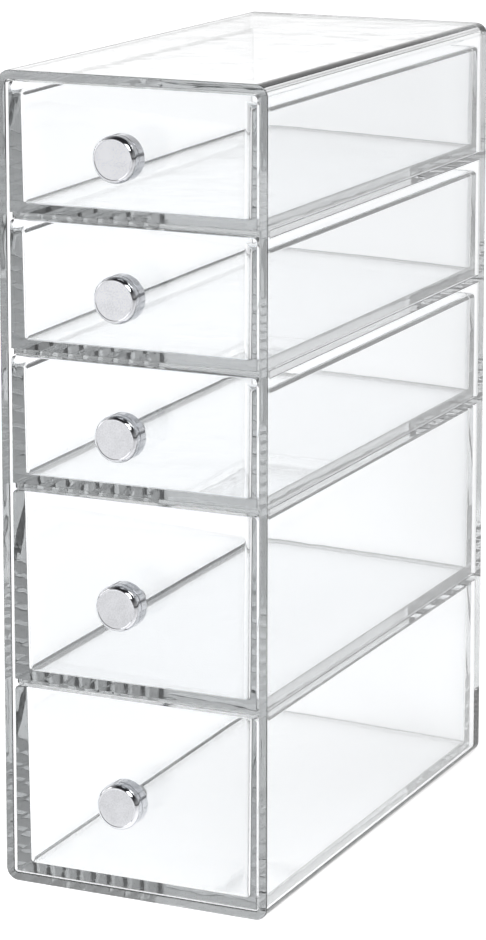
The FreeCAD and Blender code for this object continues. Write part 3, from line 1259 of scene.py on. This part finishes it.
@dataclass
class PanScrew(TurnedPart):
    """The screw that holds a knob: a pan head with a cross, and a threaded shank."""

    SOLID = "screw"
    TITLE = "pan_screw"
    SLOT = Slot.SCREW

    reach: float = 9.0
    head_radius: float = 2.8
    head_height: float = 2.0
    head_crown: float = 0.8
    shank_radius: float = 1.45
    root_radius: float = 1.2
    point: float = 0.6
    point_taper: float = 0.2
    pitch: float = 0.5
    plain: float = 1.0
    rounding: float = 0.1
    thread_rounding: float = 0.03
    corner_steps: int = 3
    around: int = 48

    def outline(self) -> Outline:
        """Draws the screw, whose thread is a row of rings.

        Returns:
            Its outline, from its tip to the middle of its head.
        """
        shank, root, soft = self.shank_radius, self.root_radius, self.thread_rounding
        tip = root - self.point_taper
        corners = [(0.0, self.reach, 0.0), (tip, self.reach, self.rounding)]
        turns = int((self.reach - self.point - self.plain) / self.pitch)
        for turn in range(turns):
            crest = self.reach - self.point - turn * self.pitch
            corners += [(shank, crest, soft), (root, crest - self.pitch / 2, soft)]
        corners += [
            (shank, self.plain, soft),
            (shank, 0.0, 0.0),
            (self.head_radius, 0.0, self.rounding),
            (self.head_radius, -self.head_height, self.head_crown),
            (0.0, -self.head_height, 0.0),
        ]
        return Outline(corners, self.corner_steps)


# ---------------------------------------------------------------- studio
@dataclass(frozen=True)
class Softbox:
    """A soft area light: where it hangs, what it points at, its size in metres and its watts."""

    name: str
    place: Point
    target: Point
    size: Spot
    power: float

    def hang(self) -> None:
        """Hangs the light."""
        lamp = bpy.data.lights.new(self.name, "AREA")
        lamp.shape = "RECTANGLE"
        lamp.size, lamp.size_y = self.size
        lamp.energy = self.power
        holder = bpy.data.objects.new(self.name, lamp)
        holder.location = self.place
        way = Vector(self.target) - Vector(self.place)
        holder.rotation_euler = way.to_track_quat("-Z", "Y").to_euler()
        bpy.context.scene.collection.objects.link(holder)


@dataclass(frozen=True)
class Backdrop:
    """What surrounds the scene: whiter behind and to the left, and dark overhead.

    The openness of a direction picks its colour from the stops.  It is a level, plus a share of
    how far the direction points back, less shares of how far it points right and up.
    """

    name: str = "soft_backdrop"
    level: float = 0.70
    depth_share: float = 0.25
    side_share: float = 0.25
    height_share: float = 0.83
    stops: tuple[tuple[float, Colour], ...] = (
        (0.03, (0.03, 0.03, 0.033)),
        (0.63, (0.73, 0.73, 0.73)),
        (0.85, (1.3, 1.3, 1.3)),
    )
    skyline: Spot = (0.043, 0.15)
    skyline_share: float = 0.2

    def build(self) -> None:
        """Makes it the scene's world."""
        world = bpy.data.worlds.new(self.name)
        world.use_nodes = True
        bpy.context.scene.world = world
        graph = Graph(world.node_tree)
        side, depth, height = graph.parts(graph.add("TexCoord", output="Generated"))
        openness = self.level + self.depth_share * depth - self.side_share * side
        shade = graph.add(
            "ValToRGB", {"stops": self.stops}, {"Fac": openness - self.height_share * height}
        )
        # dimmer in a band round the horizon
        rise = height.through("ABSOLUTE")
        strength = graph.smooth_step(rise, *self.skyline, self.skyline_share, 1.0)
        light = graph.add("Background", inputs={"Color": shade, "Strength": strength})
        graph.add("OutputWorld", inputs={"Surface": light})


@dataclass(frozen=True)
class Studio:
    """A pale table, soft light and the camera, whose focal length and level row are in pixels."""

    camera_place: Point = (0.4568, -0.9987, 0.3834)
    yaw: float = math.radians(24.79)
    pitch: float = math.radians(10.09)
    focal_pixels: float = 3487.0
    centre_row: float = 250.0
    floor_drop: float = 0.0003
    floor_reach: float = 6.0
    softboxes: tuple[Softbox, ...] = (
        Softbox("key_softbox", (0.62, -0.6, 1.0), (0.0, -0.09, 0.12), (0.5, 0.5), 6.0),
        Softbox("left_softbox", (-1.4, -0.6, 0.7), (0.0, 0.0, 0.12), (0.7, 1.1), 5.0),
    )
    view_transform: str = "Standard"
    bounces: tuple[tuple[str, int], ...] = (
        ("max_bounces", 36),
        ("transmission_bounces", 32),
        ("glossy_bounces", 32),
        ("transparent_max_bounces", 24),
    )

    def floor(self) -> None:
        """Lays the table top just under the case."""
        mesh = bpy.data.meshes.new("table_top")
        reach, z = self.floor_reach, -self.floor_drop
        corners = [(-reach, -reach, z), (reach, -reach, z), (reach, reach, z), (-reach, reach, z)]
        mesh.from_pydata(corners, [], [(0, 1, 2, 3)])
        mesh.materials.append(StudioFloor().material())
        table = bpy.data.objects.new("table_top", mesh)
        bpy.context.scene.collection.objects.link(table)

    def camera(self) -> None:
        """Sets up the camera, whose sensor lies along the taller side of the frame."""
        lens = bpy.data.cameras.new("view")
        lens.lens = self.focal_pixels * lens.sensor_width / FRAME_HEIGHT
        lens.shift_y = (self.centre_row - FRAME_HEIGHT / 2) / FRAME_HEIGHT
        holder = bpy.data.objects.new("view", lens)
        holder.location = self.camera_place
        holder.rotation_euler = (QUARTER_TURN - self.pitch, 0.0, self.yaw)
        bpy.context.scene.collection.objects.link(holder)
        bpy.context.scene.camera = holder

    def build(self) -> None:
        """Sets the stage."""
        self.floor()
        Backdrop().build()
        for softbox in self.softboxes:
            softbox.hang()
        self.camera()
        bpy.context.scene.view_settings.view_transform = self.view_transform
        for kind, count in self.bounces:
            setattr(bpy.context.scene.cycles, kind, count)


# ---------------------------------------------------------------- making
def main() -> None:
    """Builds the studio and every piece of the chest."""
    logging.basicConfig(level=logging.INFO, format="%(name)s: %(message)s")
    Studio().build()
    case = CaseMoulding(ClearPlastic("clear_case_plastic")).build()
    LOG.info("built %s", case.name)
    tray_plastic = ClearPlastic("clear_tray_plastic").material()
    chrome = PolishedMetal(
        "knob_plating", colour=(0.77, 0.777, 0.805), roughness=0.06, smudge=0.08
    ).material()
    steel = PolishedMetal(
        "screw_steel_finish", colour=(0.62, 0.62, 0.63), roughness=0.25, smudge=0.15
    ).material()
    knob_tree = TurningTree("turned_knob")
    screw_tree = TurningTree("turned_screw", CrossRecess())
    for number, kind in enumerate(DRAWERS, start=1):
        for part in (
            TrayMoulding(number, kind, tray_plastic),
            TurnedKnob(number, knob_tree, chrome),
            PanScrew(number, screw_tree, steel),
        ):
            LOG.info("built %s", part.build().name)


if __name__ == "__main__":
    main()
